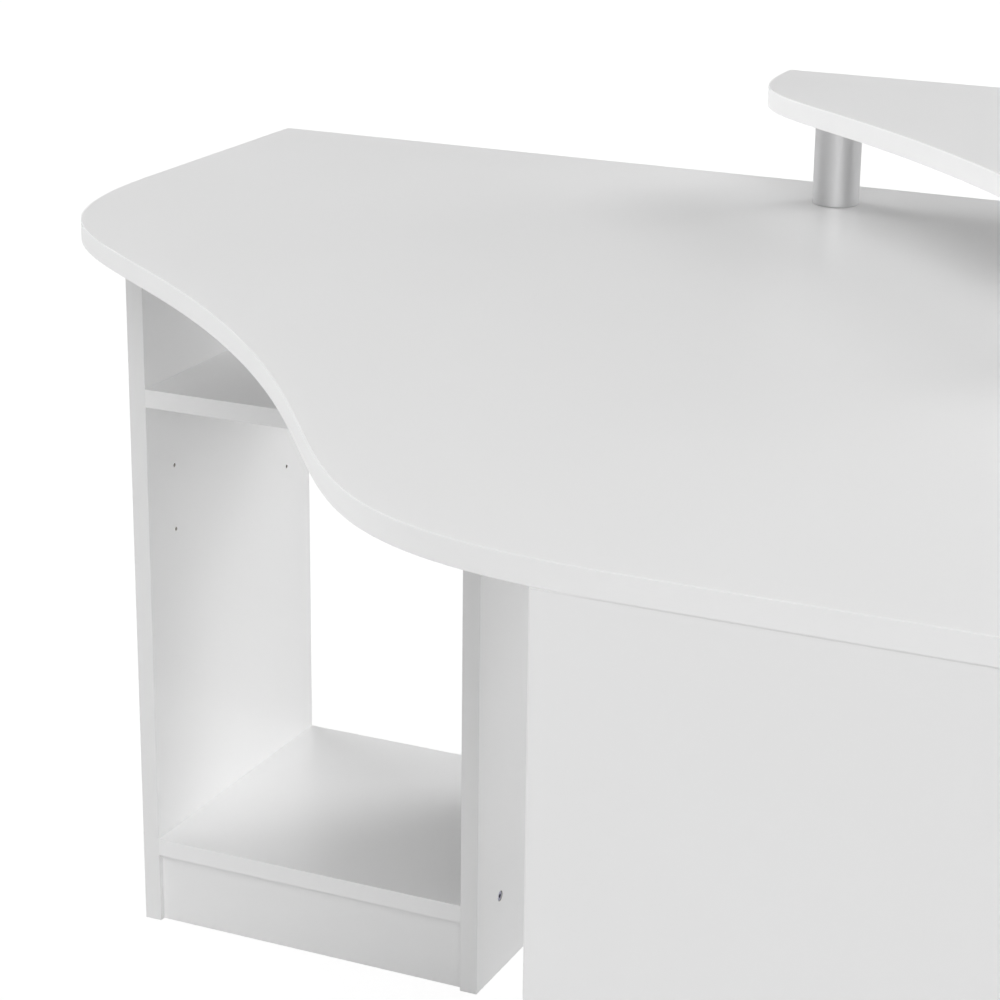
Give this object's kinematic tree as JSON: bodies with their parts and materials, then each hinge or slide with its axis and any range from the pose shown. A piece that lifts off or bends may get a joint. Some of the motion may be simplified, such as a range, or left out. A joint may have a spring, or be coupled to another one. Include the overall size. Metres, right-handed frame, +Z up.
{
  "type": "corner desk",
  "caption": "White corner desk with a swept front edge, open pedestals with fixed shelves, and a raised corner monitor shelf on metal posts.",
  "frame": {"origin": "on the floor under the middle of the square footprint", "axes": "+Z up; +Y towards the back edge above the left pedestal; +X towards the other back edge; the corner of the room is at +X +Y"},
  "size_m": [1.1, 1.1, 0.8605],
  "materials": {
    "white_board": "white melamine-faced chipboard with matching plastic edge bands, satin",
    "post_metal": "satin, finely brushed round the tube",
    "screw_zinc": "bright zinc plated, slightly blue",
    "cam_zinc": "die-cast zinc, dull",
    "bracket_steel": "zinc-plated sheet steel"
  },
  "bodies": {
    "root": {"back_rail": "white_board", "back_rail_screw_lower": "screw_zinc", "back_rail_screw_upper": "screw_zinc", "corner_bracket": "bracket_steel", "corner_upright": "white_board", "left_bottom_board": "white_board", "left_bottom_board_inner_screw_front": "screw_zinc", "left_bottom_board_inner_screw_rear": "screw_zinc", "left_bottom_board_outer_screw_front": "screw_zinc", "left_bottom_board_outer_screw_rear": "screw_zinc", "left_fixed_shelf": "white_board", "left_fixed_shelf_inner_screw_front": "screw_zinc", "left_fixed_shelf_inner_screw_rear": "screw_zinc", "left_fixed_shelf_outer_screw_front": "screw_zinc", "left_fixed_shelf_outer_screw_rear": "screw_zinc", "left_inner_bracket_front": "bracket_steel", "left_inner_bracket_rear": "bracket_steel", "left_inner_side": "white_board", "left_outer_bracket_front": "bracket_steel", "left_outer_bracket_rear": "bracket_steel", "left_outer_side": "white_board", "left_plinth": "white_board", "monitor_post_corner": "post_metal", "monitor_post_corner_bolt": "screw_zinc", "monitor_post_front": "post_metal", "monitor_post_front_bolt": "screw_zinc", "monitor_post_left": "post_metal", "monitor_post_left_bolt": "screw_zinc", "monitor_shelf": "white_board", "right_bottom_board": "white_board", "right_bottom_board_cam_front": "cam_zinc", "right_bottom_board_cam_front_bolt": "screw_zinc", "right_bottom_board_cam_rear": "cam_zinc", "right_bottom_board_cam_rear_bolt": "screw_zinc", "right_bottom_board_inner_screw_front": "screw_zinc", "right_bottom_board_inner_screw_rear": "screw_zinc", "right_fixed_shelf": "white_board", "right_fixed_shelf_cam_front": "cam_zinc", "right_fixed_shelf_cam_front_bolt": "screw_zinc", "right_fixed_shelf_cam_rear": "cam_zinc", "right_fixed_shelf_cam_rear_bolt": "screw_zinc", "right_fixed_shelf_inner_screw_front": "screw_zinc", "right_fixed_shelf_inner_screw_rear": "screw_zinc", "right_inner_bracket_front": "bracket_steel", "right_inner_bracket_rear": "bracket_steel", "right_inner_side": "white_board", "right_outer_bracket_front": "bracket_steel", "right_outer_bracket_rear": "bracket_steel", "right_outer_side": "white_board", "right_plinth": "white_board", "side_rail": "white_board", "side_rail_screw_lower": "screw_zinc", "side_rail_screw_upper": "screw_zinc", "upright_end_screw_lower": "screw_zinc", "upright_end_screw_upper": "screw_zinc", "upright_face_screw_left": "screw_zinc", "upright_face_screw_right": "screw_zinc", "worktop": "white_board"}
  },
  "joints": []
}
